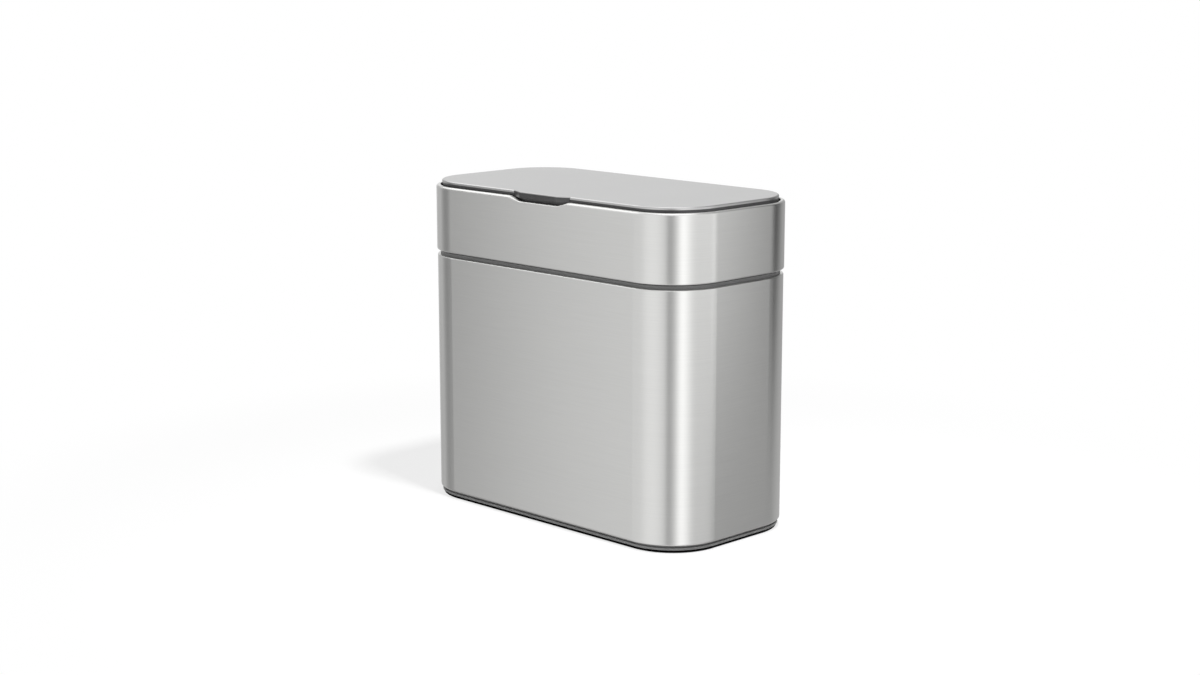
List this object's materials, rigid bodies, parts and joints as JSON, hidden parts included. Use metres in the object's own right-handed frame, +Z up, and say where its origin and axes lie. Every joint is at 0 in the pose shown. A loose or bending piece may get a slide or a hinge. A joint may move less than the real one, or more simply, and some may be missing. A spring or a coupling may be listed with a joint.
{
  "type": "compost caddy",
  "caption": "Oblong steel countertop compost caddy with a flat hinged lid set inside the rim, a lift-off top frame and an inner bucket with a bail.",
  "frame": {"origin": "middle of the footprint, on the surface that the foot ring stands on", "axes": "+X along the length, -Y to the front where the pull tab is, +Y to the hinge at the back, +Z up"},
  "size_m": [0.255, 0.13, 0.2281],
  "materials": {
    "brushed_steel": "stainless sheet with fine horizontal brushing",
    "dark_plastic": "fine moulded texture, satin",
    "grey_plastic": "satin moulded",
    "bucket_plastic": "smooth satin",
    "black_rubber": "matte",
    "soft_seal": "silicone, satin",
    "plated_steel": "zinc plated"
  },
  "bodies": {
    "body": {"body_sleeve": "brushed_steel", "body_top_ring": "grey_plastic", "base_tray": "dark_plastic", "base_cover": "grey_plastic", "foot_ring": "black_rubber", "base_screws": "plated_steel"},
    "top_frame": {"band_sleeve": "brushed_steel", "frame_shell": "dark_plastic", "hinge_brackets": "plated_steel", "bracket_screws": "plated_steel", "hinge_pins": "plated_steel"},
    "lid": {"lid_skin": "brushed_steel", "lid_core": "dark_plastic", "lid_liner": "dark_plastic", "lid_gasket": "soft_seal", "lid_pull_tab": "dark_plastic", "lid_screws": "plated_steel", "hinge_leaves": "plated_steel", "leaf_screws": "plated_steel"},
    "bucket": {"bucket": "bucket_plastic", "bail_pivots": "plated_steel"},
    "bail": {"bail": "plated_steel", "bail_grip": "dark_plastic"}
  },
  "joints": [
    {"name": "top_lift", "type": "slide", "parent": "body", "child": "top_frame", "axis": [0, 0, 1], "range_m": [0, 0.3]},
    {"name": "lid_hinge", "type": "hinge", "parent": "top_frame", "child": "lid", "pos_m": [0, 0.055, 0.2256], "axis": [-1, 0, 0], "range_deg": [0, 100]},
    {"name": "bucket_lift", "type": "slide", "parent": "body", "child": "bucket", "axis": [0, 0, 1], "range_m": [0, 0.19]},
    {"name": "bail_swing", "type": "hinge", "parent": "bucket", "child": "bail", "pos_m": [0, 0, 0.1772], "axis": [-1, 0, 0], "range_deg": [0, 90]}
  ],
  "couplings": [
    {"joint": "bucket_lift", "follows": "top_lift", "ratio": 0.6333},
    {"joint": "bail_swing", "follows": "top_lift", "rad_per_m": 5.2359}
  ]
}
